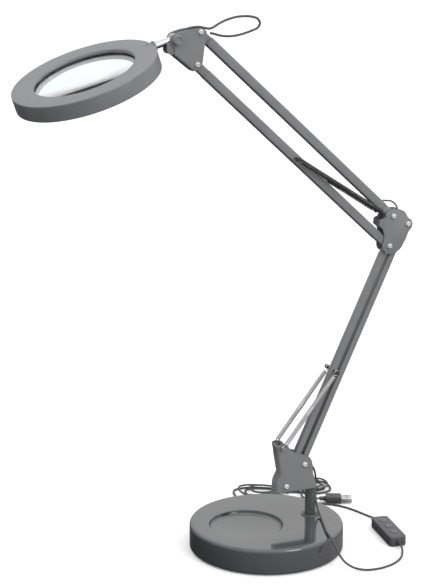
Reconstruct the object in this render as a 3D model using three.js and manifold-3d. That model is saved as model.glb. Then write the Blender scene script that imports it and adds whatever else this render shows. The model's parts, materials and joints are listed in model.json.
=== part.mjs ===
// Magnifying lamp on a weighted base, in millimetres, +Z up.
// The origin is the centre of the base's underside. The arms move in the XZ plane.
import * as THREE from "three";
import { mergeVertices } from "three/addons/utils/BufferGeometryUtils.js";
import Module from "manifold-3d";

const wasm = await Module();
wasm.setup();

// ---- driving dimensions -------------------------------------------------
const BASE_R = 80;
const BASE_H = 27.8;
const PAD_H = 1.5;
const PLATE_H = 2;
const WEIGHT_R = 73;
const WEIGHT_H = 15;
const TRAY_X = -23;
const TRAY_R = 39;
const TRAY_DEEP = 2.2;

const POST_X = 50;
const POST_R = 5.6;
const SOCKET_R = 9;
const FLOOR_Z = 58; // underside of the lower bracket

const CHEEK = 1.5;
const HALF = 7.5; // half the outer width of the folded brackets
const INNER = HALF - CHEEK;

const LEAN = (24.7 * Math.PI) / 180; // lower arm from upright
const RISE = (42.9 * Math.PI) / 180; // upper arm from level
const LOWER = 271;
const UPPER = 288.6;
const FRONT_LOW = [19.2, 65.5];
const REAR_LOW = [39.8, 87.1];
const lowDir = [Math.sin(LEAN), Math.cos(LEAN)];
const upDir = [-Math.cos(RISE), Math.sin(RISE)];
const along = (p, d, s) => [p[0] + d[0] * s, p[1] + d[1] * s];
const FRONT_TOP = along(FRONT_LOW, lowDir, LOWER); // shared with the upper arm's lower tube
const REAR_TOP = along(REAR_LOW, lowDir, LOWER);
const ELBOW_TOP = [136.1, 342.7];
const HEAD_TOP = along(ELBOW_TOP, upDir, UPPER);
const HEAD_LOW = along(FRONT_TOP, upDir, UPPER);

const LOW_W = 6.2; // lower tubes, in the plane of the arm
const LOW_T = 7.2; // lower tubes, across it
const UP_W = 9.2;
const UP_T = 10;
const WALL = 1;
const BOLT_R = 2;
const BOLT_HEAD_R = 2.7;
const PLAY = 0.25; // a turning bore over its bolt

const PIN_HALF = 12.4;
const LOW_PIN_S = 130; // spring pin, along the front tube
const UP_PIN_S = 144;
const BASE_HOOK = [13.6, 108];
const ELBOW_HOOK = [126.2, 345.4];
const SPRING_Y = 10.4;
const SPRING_R = 2.6;

const RING_C = [-190.4, 505.2];
const RING_TILT = (19.8 * Math.PI) / 180; // about Y
const RING_ROLL = (5.9 * Math.PI) / 180; // about the rod, at rest
const RING_R = 72;
const RING_H = 15.5;
const LENS_R = 50.8; // four-inch lens
const LENS_DOME = 2.5;
const ROD_R = 3.5;

const CORD_R = 1.1;
const FLOOR_CORD_Z = 1.4;

// ---- materials ----------------------------------------------------------
const paint = new THREE.MeshStandardMaterial({ color: 0x7f8183, roughness: 0.5, metalness: 0.2 });
const gloss = new THREE.MeshStandardMaterial({ color: 0x6d6f72, roughness: 0.15 });
const dark = new THREE.MeshStandardMaterial({ color: 0x3c3d3f, roughness: 0.6 });
const steel = new THREE.MeshStandardMaterial({ color: 0xb9bbbd, roughness: 0.3, metalness: 1 });
const nylon = new THREE.MeshStandardMaterial({ color: 0xf1f1ef, roughness: 0.5 });
const black = new THREE.MeshStandardMaterial({ color: 0x1b1b1c, roughness: 0.7 });
const lensGlass = new THREE.MeshStandardMaterial({ color: 0xf4f8fa, roughness: 0.05 });
const milk = new THREE.MeshStandardMaterial({ color: 0xfafafa, roughness: 0.6 });
const board = new THREE.MeshStandardMaterial({ color: 0xe9e9e4, roughness: 0.6 });

const group = new THREE.Group();
group.name = "magnifying_lamp";

function part(name, geometry, material) {
  const mesh = new THREE.Mesh(geometry, material);
  mesh.name = name;
  group.add(mesh);
  return mesh;
}

// ---- solids -------------------------------------------------------------
function bare(geometry) {
  const g = geometry.index ? geometry.toNonIndexed() : geometry.clone();
  for (const key of Object.keys(g.attributes)) {
    if (key !== "position") g.deleteAttribute(key);
  }
  return mergeVertices(g, 1e-4);
}

function solid(geometry) {
  const g = bare(geometry);
  return new wasm.Manifold(
    new wasm.Mesh({
      numProp: 3,
      vertProperties: new Float32Array(g.attributes.position.array),
      triVerts: new Uint32Array(g.index.array),
    }),
  );
}

function geometryOf(manifold) {
  const m = manifold.getMesh();
  const g = new THREE.BufferGeometry();
  g.setAttribute("position", new THREE.BufferAttribute(new Float32Array(m.vertProperties), 3));
  g.setIndex(new THREE.BufferAttribute(new Uint32Array(m.triVerts), 1));
  g.computeVertexNormals();
  return g;
}

function cut(base, ...tools) {
  let m = solid(base);
  for (const t of tools) m = m.subtract(solid(t));
  return geometryOf(m);
}

function join(base, ...more) {
  let m = solid(base);
  for (const t of more) m = m.add(solid(t));
  return geometryOf(m);
}

// a solid of revolution about +Z from [radius, height] points
function turned(points, segments) {
  const profile = points.map(([r, z]) => new THREE.Vector2(r, z));
  if (THREE.ShapeUtils.area(profile) < 0) profile.reverse();
  const g = new THREE.LatheGeometry(profile, segments);
  g.rotateX(Math.PI / 2);
  return g;
}

function disc(r, z0, z1, segments, x = 0, y = 0) {
  const g = turned([[0, z0], [r, z0], [r, z1], [0, z1]], segments);
  g.translate(x, y, 0);
  return g;
}

// a closed outline in XZ, extruded from y0 to y1
function plate(points, y0, y1, holes = []) {
  const outline = points.map(([x, z]) => new THREE.Vector2(x, z));
  if (THREE.ShapeUtils.isClockWise(outline)) outline.reverse();
  const shape = new THREE.Shape(outline);
  for (const [x, z, r] of holes) {
    const hole = new THREE.Path();
    hole.absarc(x, z, r, 0, 2 * Math.PI, true);
    shape.holes.push(hole);
  }
  const g = new THREE.ExtrudeGeometry(shape, { depth: y1 - y0, bevelEnabled: false, curveSegments: 6 });
  g.rotateX(Math.PI / 2);
  g.translate(0, y1, 0);
  return g;
}

// a cylinder along Y
function across(x, z, r, y0, y1, segments = 12) {
  const g = new THREE.CylinderGeometry(r, r, y1 - y0, segments);
  g.translate(x, (y0 + y1) / 2, z);
  return g;
}

// a cylinder between two points
function bar(a, b, r, segments = 12) {
  const from = new THREE.Vector3(...a);
  const to = new THREE.Vector3(...b);
  const d = to.clone().sub(from);
  const g = new THREE.CylinderGeometry(r, r, d.length(), segments);
  const up = new THREE.Vector3(0, 1, 0);
  g.applyQuaternion(new THREE.Quaternion().setFromUnitVectors(up, d.clone().normalize()));
  g.translate((a[0] + b[0]) / 2, (a[1] + b[1]) / 2, (a[2] + b[2]) / 2);
  return g;
}

function roundedBox(w, t, r, n = 3) {
  const s = new THREE.Shape();
  const corners = [[1, 1], [-1, 1], [-1, -1], [1, -1]];
  corners.forEach(([sx, sy], i) => {
    const cx = sx * (w / 2 - r);
    const cy = sy * (t / 2 - r);
    for (let k = 0; k <= n; k++) {
      const a = (i * Math.PI) / 2 + (k / n) * (Math.PI / 2);
      const x = cx + r * Math.cos(a);
      const y = cy + r * Math.sin(a);
      if (i === 0 && k === 0) s.moveTo(x, y);
      else s.lineTo(x, y);
    }
  });
  return s;
}

// places a shape extruded along local Z so that it runs from p along d, in the XZ plane
function place(g, p, d) {
  const z = new THREE.Vector3(d[0], 0, d[1]);
  const y = new THREE.Vector3(0, 1, 0);
  const x = new THREE.Vector3().crossVectors(y, z);
  const m = new THREE.Matrix4().makeBasis(x, y, z);
  m.setPosition(p[0], 0, p[1]);
  g.applyMatrix4(m);
  return g;
}

function extruded(shape, z0, z1) {
  const g = new THREE.ExtrudeGeometry(shape, { depth: z1 - z0, bevelEnabled: false, curveSegments: 8 });
  g.translate(0, 0, z0);
  return g;
}

function tube(p, d, w, t, r, s0, s1) {
  const outer = extruded(roundedBox(w, t, r), s0, s1);
  const bore = roundedBox(w - 2 * WALL, t - 2 * WALL, Math.max(r - WALL, 0.4), 2);
  const inner = extruded(bore, s0 - 1, s1 + 1);
  return place(cut(outer, inner), p, d);
}

// an end plug: a plain insert inside the tube and a tongue with a round end at the pivot
function plug(p, d, w, t, tongueW, tongueT, open) {
  const r = w > 8 ? 1.1 : 0.5;
  const insert = extruded(roundedBox(w - 2 * WALL - 0.1, t - 2 * WALL - 0.1, r, 1), open - 0.5, open + 9);
  const tongue = extruded(roundedBox(tongueW, tongueT, 0.7, 1), 0, open - 0.05);
  let g = place(join(insert, tongue), p, d);
  g = join(g, across(p[0], p[1], tongueW / 2, -tongueT / 2, tongueT / 2, 14));
  return cut(g, across(p[0], p[1], BOLT_R + PLAY, -20, 20, 12));
}

// a nylon bolt with a domed head on the near side, and a hexagonal nut on the far side
function bolt(x, z) {
  const profile = [[0, -HALF - 2.8], [1.8, -HALF - 2.5], [BOLT_HEAD_R, -HALF - 1.2]];
  profile.push([BOLT_HEAD_R, -HALF - 0.02], [BOLT_R, -HALF - 0.02], [BOLT_R, HALF + 4.2], [0, HALF + 4.2]);
  const g = turned(profile, 12);
  g.rotateX(-Math.PI / 2);
  g.translate(x, 0, z);
  const nut = new THREE.CylinderGeometry(3.4, 3.4, 2.6, 6);
  nut.translate(x, HALF + 0.02 + 1.3, z);
  return join(g, nut);
}

// ---- base ---------------------------------------------------------------
function baseCover() {
  const r = BASE_R;
  const h = BASE_H;
  const low = PAD_H;
  const outer = [[0, low], [r - 1.2, low], [r, low + 1.2], [r, h - 4.2], [r - 1.2, h - 1.3]];
  outer.push([r - 4.2, h], [0, h]);
  const inner = [[0, low - 1], [r - 2.4, low - 1], [r - 2.4, h - 5], [r - 5.5, h - 2.4], [0, h - 2.4]];
  let g = cut(turned(outer, 48), turned(inner, 32));
  const tray = TRAY_DEEP;
  g = join(g, disc(TRAY_R + 2, h - tray - 2.4, h - 1, 32, TRAY_X));
  const bowl = turned(
    [[0, h - tray], [TRAY_R - 2.5, h - tray], [TRAY_R - 0.9, h - tray + 0.7], [TRAY_R, h + 1], [0, h + 1]],
    36,
  );
  bowl.translate(TRAY_X, 0, 0);
  const hole = disc(SOCKET_R - 1.5, 0, h + 5, 20, POST_X);
  return cut(g, bowl, hole);
}

const weightZ = PAD_H + PLATE_H;
part("base_cover", baseCover(), gloss);
part(
  "base_weight",
  cut(disc(WEIGHT_R, weightZ, weightZ + WEIGHT_H, 36), disc(SOCKET_R - 1.4, 0, 40, 16, POST_X)),
  steel,
);
part(
  "base_bottom_plate",
  cut(disc(BASE_R - 3.2, PAD_H, weightZ, 36), disc(SOCKET_R - 1.4, 0, 40, 16, POST_X)),
  dark,
);
part("base_pad", disc(BASE_R - 6, 0, PAD_H, 36), black);

// the bush in which the post turns: a flange on the cover, and a nut under the cover's top
function postSocket() {
  const bore = POST_R + 0.08;
  const sleeve = SOCKET_R - 1.6;
  const profile = [[bore, PAD_H + 0.4], [sleeve, PAD_H + 0.4], [sleeve, BASE_H + 0.02]];
  profile.push([SOCKET_R + 0.6, BASE_H + 0.02], [SOCKET_R, BASE_H + 1.1], [bore, BASE_H + 1.1]);
  profile.push(profile[0]);
  const g = turned(profile, 20);
  g.translate(POST_X, 0, 0);
  return g;
}
part("post_socket", postSocket(), dark);
const nutZ = weightZ + WEIGHT_H + 0.02;
const nut = new THREE.CylinderGeometry(12, 12, 3.6, 6);
nut.rotateX(Math.PI / 2);
nut.translate(POST_X, 0, nutZ + 1.8);
part("socket_nut", cut(nut, disc(SOCKET_R - 1.5, 0, 40, 20, POST_X)), steel);

// ---- turning column -----------------------------------------------------
const post = turned(
  [[0, 5], [POST_R - 0.6, 5], [POST_R, 5.6], [POST_R, FLOOR_Z - 0.02], [0, FLOOR_Z - 0.02]],
  20,
);
post.translate(POST_X, 0, 0);
part("post", post, gloss);

// two grooved studs on the outer faces of the cheeks, which take the ends of the springs
function hooks([x, z]) {
  return [-1, 1].flatMap((s) => {
    const y = [s * (HALF - 0.4), s * (PIN_HALF + 0.9)].sort((a, b) => a - b);
    const head = [s * PIN_HALF, s * (PIN_HALF + 1)].sort((a, b) => a - b);
    return [across(x, z, 1.2, ...y, 10), across(x, z, 2.1, ...head, 10)];
  });
}

const baseCheek = [
  [9.2, FLOOR_Z], [53.2, FLOOR_Z], [53.6, 62], [51.6, 70], [49.6, 76], [49.4, 82], [48.2, 90], [45.6, 94.4],
  [40, 97], [31, 100.2], [24.7, 103.6], [20.4, 110], [17.6, 112], [12, 111.6], [9.6, 109.6], [11, 100],
  [14.6, 80], [10.2, 71.5], [9.2, 66],
];
function baseBracket() {
  const holes = [[...FRONT_LOW, BOLT_R + 0.05], [...REAR_LOW, BOLT_R + 0.05]];
  const near = plate(baseCheek, -HALF, -INNER, holes);
  const far = plate(baseCheek, INNER, HALF, holes);
  const webLine = [[8.4, 109], [9.8, 109.4], [11.2, 100], [14.8, 80], [10.6, 71.4], [9.8, 66], [9.4, 58.4]];
  webLine.push([8, 58.4], [8.3, 66.2], [9, 72], [13, 80], [9.6, 99.8]);
  const web = plate(webLine, -HALF, HALF);
  const floorLine = [[8, FLOOR_Z], [55.8, FLOOR_Z], [55.8, FLOOR_Z + CHEEK], [8, FLOOR_Z + CHEEK]];
  const floor = plate(floorLine, -HALF, HALF);
  return join(near, far, web, floor, ...hooks(BASE_HOOK));
}
part("base_bracket", baseBracket(), paint);
part("base_front_bolt", bolt(...FRONT_LOW), nylon);
part("base_rear_bolt", bolt(...REAR_LOW), nylon);

// ---- lower arm ----------------------------------------------------------
const lowOpen = 9;
for (const [name, p] of [["lower_front", FRONT_LOW], ["lower_rear", REAR_LOW]]) {
  const q = along(p, lowDir, LOWER);
  const back = [-lowDir[0], -lowDir[1]];
  let body = tube(p, lowDir, LOW_W, LOW_T, 1, lowOpen, LOWER - lowOpen);
  if (name === "lower_front") body = cut(body, across(...along(p, lowDir, LOW_PIN_S), 1.25, -20, 20, 12));
  part(`${name}_tube`, body, paint);
  part(`${name}_low_plug`, plug(p, lowDir, LOW_W, LOW_T, LOW_W - 0.2, 8, lowOpen), dark);
  const thick = name === "lower_front" ? 5 : 8;
  part(`${name}_high_plug`, plug(q, back, LOW_W, LOW_T, LOW_W - 0.2, thick, lowOpen), dark);
}
const lowPin = along(FRONT_LOW, lowDir, LOW_PIN_S);
function springPin(x, z) {
  const ball = new THREE.SphereGeometry(2.4, 10, 6);
  ball.translate(x, PIN_HALF + 1.4, z);
  const collar = across(x, z, 2.3, -PIN_HALF - 0.9, -PIN_HALF + 0.5, 10);
  return join(across(x, z, 1.2, -PIN_HALF - 1, PIN_HALF, 12), ball, collar);
}
part("lower_spring_pin", springPin(...lowPin), black);

// ---- elbow --------------------------------------------------------------
const elbowCheek = [
  [124.6, 341], [128.6, 347.6], [134, 349.2], [143.6, 349.4], [149.6, 346.4], [153, 340.2], [157.2, 337.4],
  [158.8, 333.4], [157.8, 328.8], [154.4, 325.6], [151.2, 317.6], [145.6, 308], [139.4, 303.4], [132, 303],
  [125.6, 306.8], [124.2, 312], [126.6, 322], [124, 331.4], [120, 333.4], [121, 340.6],
];
function elbowBracket() {
  const shapeHoles = [[...ELBOW_TOP, 2.05], [...REAR_TOP, 2.05], [...FRONT_TOP, 2.05]];
  const near = plate(elbowCheek, -HALF, -INNER, shapeHoles);
  const far = plate(elbowCheek, INNER, HALF, shapeHoles);
  const web = plate([[122.6, 331], [124.4, 330.6], [125.8, 338.2], [124, 338.8]], -HALF, HALF);
  const earLine = [[121.4, 339], [127, 339], [129.2, 346], [127.8, 348.4], [124.8, 348], [122.8, 345]];
  const ears = plate(earLine, -HALF, HALF);
  const gapLine = [[121.6, 338], [131, 338], [131, 350], [119, 350], [119, 340.9], [122.4, 340.9]];
  const gap = plate(gapLine, -INNER, INNER);
  return join(cut(join(near, far, web, ears), gap), ...hooks(ELBOW_HOOK));
}
part("elbow_bracket", elbowBracket(), paint);
part("elbow_top_bolt", bolt(...ELBOW_TOP), nylon);
part("elbow_rear_bolt", bolt(...REAR_TOP), nylon);
part("elbow_front_bolt", bolt(...FRONT_TOP), nylon);

// ---- upper arm ----------------------------------------------------------
const upOpen = 15;
for (const [name, p] of [["upper_top", ELBOW_TOP], ["upper_bottom", FRONT_TOP]]) {
  const q = along(p, upDir, UPPER);
  const back = [-upDir[0], -upDir[1]];
  let body = tube(p, upDir, UP_W, UP_T, 2, upOpen, UPPER - upOpen);
  if (name === "upper_bottom") body = cut(body, across(...along(p, upDir, UP_PIN_S), 1.25, -20, 20, 12));
  part(`${name}_tube`, body, paint);
  const low = plug(p, upDir, UP_W, UP_T, 8, 11, upOpen);
  const slot = place(extruded(roundedBox(12, 5.8, 0.3, 1), -8, 13), p, upDir);
  part(`${name}_low_plug`, name === "upper_bottom" ? cut(low, slot) : low, dark);
  const tongue = name === "upper_top" ? 6 : 11; // thinner where the cable passes beside it
  part(`${name}_high_plug`, plug(q, back, UP_W, UP_T, 8, tongue, upOpen), dark);
}
const upPin = along(FRONT_TOP, upDir, UP_PIN_S);
part("upper_spring_pin", springPin(...upPin), black);

// ---- springs ------------------------------------------------------------
function spring(name, hook, pin, y, material) {
  const d = new THREE.Vector2(pin[0] - hook[0], pin[1] - hook[1]);
  const u = d.clone().normalize();
  const a = [hook[0] + u.x * 5, y, hook[1] + u.y * 5];
  const b = [pin[0] - u.x * 5, y, pin[1] - u.y * 5];
  part(name, bar(a, b, SPRING_R, 12), material);
}
spring("lower_near_spring", BASE_HOOK, lowPin, -SPRING_Y, steel);
spring("lower_far_spring", BASE_HOOK, lowPin, SPRING_Y, steel);
spring("upper_near_spring", ELBOW_HOOK, upPin, -SPRING_Y, black);
spring("upper_far_spring", ELBOW_HOOK, upPin, SPRING_Y, black);

// ---- head bracket and rod -----------------------------------------------
const KNUCKLE = [-99.9, 533];
const EAR_Y = 3.8; // inner face of the ears, which clears the rod
const SCREW_R = 1.5;
const headCheek = [
  [-104.6, 531], [-104.6, 535], [-102, 538.4], [-95.4, 540.4], [-90.6, 541.6], [-80, 542.8], [-74, 543],
  [-69.4, 540.4], [-69.4, 535], [-71.4, 525], [-73.4, 509.6], [-75.2, 504.8], [-79, 502.9], [-84.6, 503.4],
  [-100.8, 518], [-101.6, 522], [-102.4, 527],
];
// the lugs on the inner faces of the cheeks, between which the rod's eye turns
const headEar = [
  [-108.6, 529.8], [-109.2, 528.6], [-109.2, 521.4], [-106.8, 518.9], [-101, 518.4], [-92, 519], [-92, 536],
  [-99, 538.4], [-103.6, 537.2], [-105.6, 533.4], [-105, 530.4],
];
function headBracket() {
  const holes = [[...HEAD_TOP, 2.05], [...HEAD_LOW, 2.05], [...KNUCKLE, SCREW_R + 0.1]];
  const near = plate(headCheek, -HALF, -INNER, holes);
  const far = plate(headCheek, INNER, HALF, holes);
  const web = plate([[-83, 501.8], [-84.6, 503.6], [-101.4, 519], [-102.6, 517.8]], -HALF, HALF);
  const ears = [plate(headEar, -INNER - 0.02, -EAR_Y), plate(headEar, EAR_Y, INNER + 0.02)];
  const body = join(near, far, web, ...ears);
  return cut(body, across(...KNUCKLE, SCREW_R + 0.1, -20, 20, 12));
}
part("head_bracket", headBracket(), paint);
part("head_top_bolt", bolt(...HEAD_TOP), nylon);
part("head_low_bolt", bolt(...HEAD_LOW), nylon);

// a knob with ribs on the near side, whose screw clamps the rod's eye between the ears
function tiltKnob() {
  const [x, z] = KNUCKLE;
  let g = across(x, z, 5, -HALF - 6.6, -HALF - 0.1, 20);
  g = join(g, across(x, z, SCREW_R, -HALF - 1, HALF + 3, 12));
  const nutBody = new THREE.CylinderGeometry(3.6, 3.6, 2.6, 6);
  nutBody.translate(x, HALF + 1.4, z);
  g = join(g, nutBody);
  const grooves = [];
  for (let i = 0; i < 10; i++) {
    const a = (i * 2 * Math.PI) / 10;
    grooves.push(across(x + 5.6 * Math.cos(a), z + 5.6 * Math.sin(a), 1, -HALF - 8, -HALF - 1.6, 8));
  }
  return cut(g, ...grooves);
}
part("tilt_knob", tiltKnob(), dark);

// the ring's own frame: u runs towards the rod, n is its upward normal
const ru = [Math.cos(RING_TILT), Math.sin(RING_TILT)];
const rn = [-Math.sin(RING_TILT), Math.cos(RING_TILT)];
const ringPoint = (s, h) => [RING_C[0] + ru[0] * s + rn[0] * h, RING_C[1] + ru[1] * s + rn[1] * h];
const RIM_H = -3.4; // the rod's height in the ring's frame
const rodEnd = ringPoint(RING_R + 0.4, RIM_H);
const rodLong = Math.hypot(KNUCKLE[0] - rodEnd[0], KNUCKLE[1] - rodEnd[1]);
const rodDir = [(KNUCKLE[0] - rodEnd[0]) / rodLong, (KNUCKLE[1] - rodEnd[1]) / rodLong];
// a cylinder on the rod's own axis, measured from the rim
function onRod(s0, s1, r) {
  const a = along(rodEnd, rodDir, s0);
  const b = along(rodEnd, rodDir, s1);
  return bar([a[0], 0, a[1]], [b[0], 0, b[1]], r, 16);
}
function headRod() {
  const eye = across(...KNUCKLE, 5.4, -ROD_R, ROD_R, 18);
  return cut(join(onRod(-6, rodLong - 4, ROD_R), eye), across(...KNUCKLE, SCREW_R + PLAY, -9, 9, 12));
}
part("head_rod", headRod(), steel);

// ---- ring head ----------------------------------------------------------
// turned about the ring's own axis, then tilted into place and rolled a little about the rod
function inRing(g) {
  const z = new THREE.Vector3(rn[0], 0, rn[1]);
  const x = new THREE.Vector3(ru[0], 0, ru[1]);
  const y = new THREE.Vector3().crossVectors(z, x);
  const m = new THREE.Matrix4().makeBasis(x, y, z);
  m.setPosition(RING_C[0], 0, RING_C[1]);
  g.applyMatrix4(m);
  const pivot = new THREE.Vector3(rodEnd[0], 0, rodEnd[1]);
  const axis = new THREE.Vector3(rodDir[0], 0, rodDir[1]);
  g.translate(-pivot.x, 0, -pivot.z);
  g.applyQuaternion(new THREE.Quaternion().setFromAxisAngle(axis, RING_ROLL));
  g.translate(pivot.x, 0, pivot.z);
  return g;
}

const OPEN_R = LENS_R - 1.6;
const BUSH_R = 4.7;
function headShell() {
  const R = RING_R;
  const profile = [[OPEN_R + 0.4, 0], [OPEN_R + 1.4, 0.6], [R - 1.8, 0.5], [R - 0.5, 0], [R, -1.2]];
  profile.push([R, -RING_H], [R - 2, -RING_H], [R - 2, -3.6], [LENS_R + 3.4, -2], [LENS_R + 3.4, -9]);
  profile.push([LENS_R + 1.4, -9], [LENS_R + 1.4, -2.6], [OPEN_R + 0.4, -2.6], [OPEN_R + 0.4, 0]);
  const g = turned(profile, 48);
  const bore = bar([R - 8, 0, RIM_H], [R + 8, 0, RIM_H], BUSH_R + 0.1, 16);
  return inRing(cut(g, bore));
}
part("head_shell", headShell(), paint);

// the bush on the rim that grips the rod
function rodSocket() {
  const g = bar([RING_R - 5.4, 0, RIM_H], [RING_R + 2.6, 0, RIM_H], BUSH_R, 16);
  const lip = bar([RING_R + 0.3, 0, RIM_H], [RING_R + 2.6, 0, RIM_H], BUSH_R + 0.7, 16);
  return cut(inRing(join(g, lip)), onRod(-9, 15, ROD_R + 0.1));
}
part("rod_socket", rodSocket(), dark);

function lens() {
  const low = -4.8; // the edge's faces, in the ring's frame
  const high = -3.6;
  const n = 4;
  const dome = (i) => LENS_DOME * (1 - (i / n) ** 2);
  const profile = [];
  for (let i = 0; i <= n; i++) profile.push([(LENS_R * i) / n, low - dome(i)]);
  for (let i = n; i >= 0; i--) profile.push([(LENS_R * i) / n, high + dome(i)]);
  return inRing(turned(profile, 40));
}
part("lens", lens(), lensGlass);
const lensRing = [[LENS_R - 1.4, -7.2], [LENS_R + 1, -7.2], [LENS_R + 1, -5.2], [LENS_R - 1.4, -5.2]];
lensRing.push(lensRing[0]);
part("lens_ring", inRing(turned(lensRing, 40)), dark);
const boardOut = RING_R - 2.3;
const boardIn = LENS_R + 3.6;
const boardLow = 3.6 - RING_H;
const boardHigh = boardLow + 1.2;
const boardRing = [[boardIn, boardLow], [boardOut, boardLow], [boardOut, boardHigh], [boardIn, boardHigh]];
boardRing.push(boardRing[0]);
part("led_board", inRing(turned(boardRing, 40)), board);
const milkRing = [
  [LENS_R + 0.4, -RING_H + 1.2], [RING_R - 3.2, -RING_H + 1.2], [RING_R - 3.2, -RING_H + 3],
  [LENS_R + 2, -RING_H + 3], [LENS_R + 2, -9.3], [LENS_R + 0.4, -9.3], [LENS_R + 0.4, -RING_H + 1.2],
];
part("diffuser", inRing(turned(milkRing, 40)), milk);

// ---- cables -------------------------------------------------------------
function curve(points) {
  return new THREE.CatmullRomCurve3(points.map((p) => new THREE.Vector3(...p)), false, "centripetal");
}

function cord(points, r, steps, sides) {
  const s = new THREE.Shape();
  for (let i = 0; i < sides; i++) {
    const a = (i * 2 * Math.PI) / sides;
    if (i === 0) s.moveTo(r * Math.cos(a), r * Math.sin(a));
    else s.lineTo(r * Math.cos(a), r * Math.sin(a));
  }
  return new THREE.ExtrudeGeometry(s, { steps, bevelEnabled: false, extrudePath: curve(points) });
}

const headLoop = [
  [-94.2, -3.2, 538.6], [-91.8, -4, 540.8], [-87.4, -4.4, 542.8], [-81.4, -4.5, 543.8], [-75, -4.5, 543.8],
  [-69.4, -4, 542.4], [-64.8, -3, 541.6], [-60.2, -1.8, 542.6], [-54.6, -0.8, 545.4], [-47.2, 0, 548.4],
  [-37, 0.8, 550.9], [-26.4, 1, 551.6], [-18.6, 0.6, 550.7], [-13, 0.2, 548.2], [-10.8, 0, 544.4],
  [-13, -0.2, 540.6], [-18.8, -0.4, 537.8], [-26.4, -0.6, 535.5], [-36, -0.8, 533.6], [-45.2, -0.6, 533.2],
  [-53, 0, 534.3], [-58.6, 0.4, 536], [-62.6, 0.5, 536.8],
];
part("head_loop_cable", cord(headLoop, 1.2, 44, 8), black);
const jumper = [
  [127.4, 0, 358.6], [130.6, 0, 358], [135.2, 0, 357.6], [140, 0, 355], [143.4, 0, 350.8], [144.6, 0, 346],
];
part("elbow_cable", cord(jumper, 0.9, 16, 8), black);

const BASE_CORD_Z = BASE_H + CORD_R + 0.4;
const leadLow = [
  [125.86, -60.6, 5.2], [124.6, -67, 3.4], [121, -74.6, 1.8], [115, -83.4, FLOOR_CORD_Z],
  [105, -92.2, FLOOR_CORD_Z], [93, -98, FLOOR_CORD_Z], [79, -100.6, FLOOR_CORD_Z],
  [66, -98.6, 1.6], [56, -93, 3.4], [49, -87.4, 8], [44.6, -82.6, 15.4], [42.2, -78, 23],
  [41, -71.6, 28.4], [41.4, -64.6, BASE_CORD_Z + 0.3], [43.4, -55, BASE_CORD_Z],
  [47.4, -41, BASE_CORD_Z], [52, -26, BASE_CORD_Z], [55.2, -14.6, 30], [57, -6, 32.4],
  [57.6, -0.6, 37.4], [57.4, 1.8, 44], [57.2, 2.3, 50], [57.2, 2.4, 56],
];
part("supply_lead", cord(leadLow, CORD_R, 58, 8), black);
const leadTop = [
  [57.2, 2.4, 56.4], [57.3, 2.3, 62], [57, 2, 68], [55.4, 1.4, 75], [52.4, 0.6, 80.4], [48.6, 0, 83],
];
part("supply_lead_top", cord(leadTop, CORD_R, 12, 8), black);
const leadMid = [
  [134.95, 10.6, 5.2], [135.9, 16.4, 4], [136.4, 24, 2.2], [134.6, 33, FLOOR_CORD_Z],
  [131.4, 43, FLOOR_CORD_Z], [128, 53, FLOOR_CORD_Z], [123.4, 63, FLOOR_CORD_Z],
  [116.6, 72.6, FLOOR_CORD_Z], [108, 80.4, FLOOR_CORD_Z], [98, 87, FLOOR_CORD_Z],
  [89, 93.6, FLOOR_CORD_Z], [84.4, 101, FLOOR_CORD_Z], [82.6, 111, FLOOR_CORD_Z], [82, 123.2, FLOOR_CORD_Z],
];
part("controller_lead", cord(leadMid, CORD_R, 26, 8), black);
const usbLead = [
  [104, 91.5, 4.6], [99.6, 94, 3.4], [96.2, 98.6, 2], [94.4, 104, FLOOR_CORD_Z], [93, 111, FLOOR_CORD_Z],
  [92, 119.4, FLOOR_CORD_Z],
];
part("plug_lead", cord(usbLead, CORD_R, 10, 8), black);

// the folded hank: one plain outline with round ends
function hank() {
  const s = new THREE.Shape();
  s.absarc(36, 0, 20, -Math.PI / 2, Math.PI / 2, false);
  s.lineTo(4, 12);
  s.lineTo(-4, 12);
  s.absarc(-36, 0, 20, Math.PI / 2, (3 * Math.PI) / 2, false);
  s.lineTo(-4, -12);
  s.lineTo(4, -12);
  const g = extruded(s, 0.3, 8);
  g.rotateZ(-0.12);
  g.translate(81, 136, 0);
  return g;
}
part("cable_hank", hank(), black);

// ---- inline controller --------------------------------------------------
const CTRL = { x: 130.4, y: -25, long: 60, wide: 19, high: 11, turn: -0.126 };
function inController(g) {
  g.rotateZ(CTRL.turn);
  g.translate(CTRL.x, CTRL.y, 0);
  return g;
}
// a rounded box lying along Y
function shellHalf(z0, z1, bottom) {
  const s = roundedBox(CTRL.wide, CTRL.long, 5, 3);
  const inset = roundedBox(CTRL.wide - 2, CTRL.long - 2, 4, 3);
  const body = extruded(s, bottom ? z0 + 1 : z0, bottom ? z1 : z1 - 1);
  const skin = extruded(inset, bottom ? z0 : z1 - 1.01, bottom ? z0 + 1.01 : z1);
  const room = roundedBox(CTRL.wide - 3.6, CTRL.long - 3.6, 3.2, 3);
  const hollow = extruded(room, bottom ? z0 + 1.6 : z0 - 1, bottom ? z1 + 1 : z1 - 1.6);
  return cut(join(body, skin), hollow);
}
const BUTTONS = [["button_power", 16], ["button_brighter", 0], ["button_dimmer", -16]];
function controllerUpper() {
  const holes = BUTTONS.map(([, y]) => disc(4.3, 5, 20, 16, 0, y));
  const ends = [-1, 1].map((s) => bar([0, s * 20, 5.2], [0, s * 40, 5.2], 2.9, 12));
  return inController(cut(shellHalf(5.2, CTRL.high + 0.4, false), ...holes, ...ends));
}
function controllerLower() {
  const ends = [-1, 1].map((s) => bar([0, s * 20, 5.2], [0, s * 40, 5.2], 2.9, 12));
  return inController(cut(shellHalf(0.3, 5.18, true), ...ends));
}
part("controller_lower", controllerLower(), dark);
part("controller_upper", controllerUpper(), dark);
for (const [name, y] of BUTTONS) {
  const g = turned([[0, 8.2], [5, 8.2], [5, 9.4], [4, 9.4], [4, 12], [0, 12.2]], 16);
  g.translate(0, y, 0);
  part(name, inController(g), gloss);
}
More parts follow.
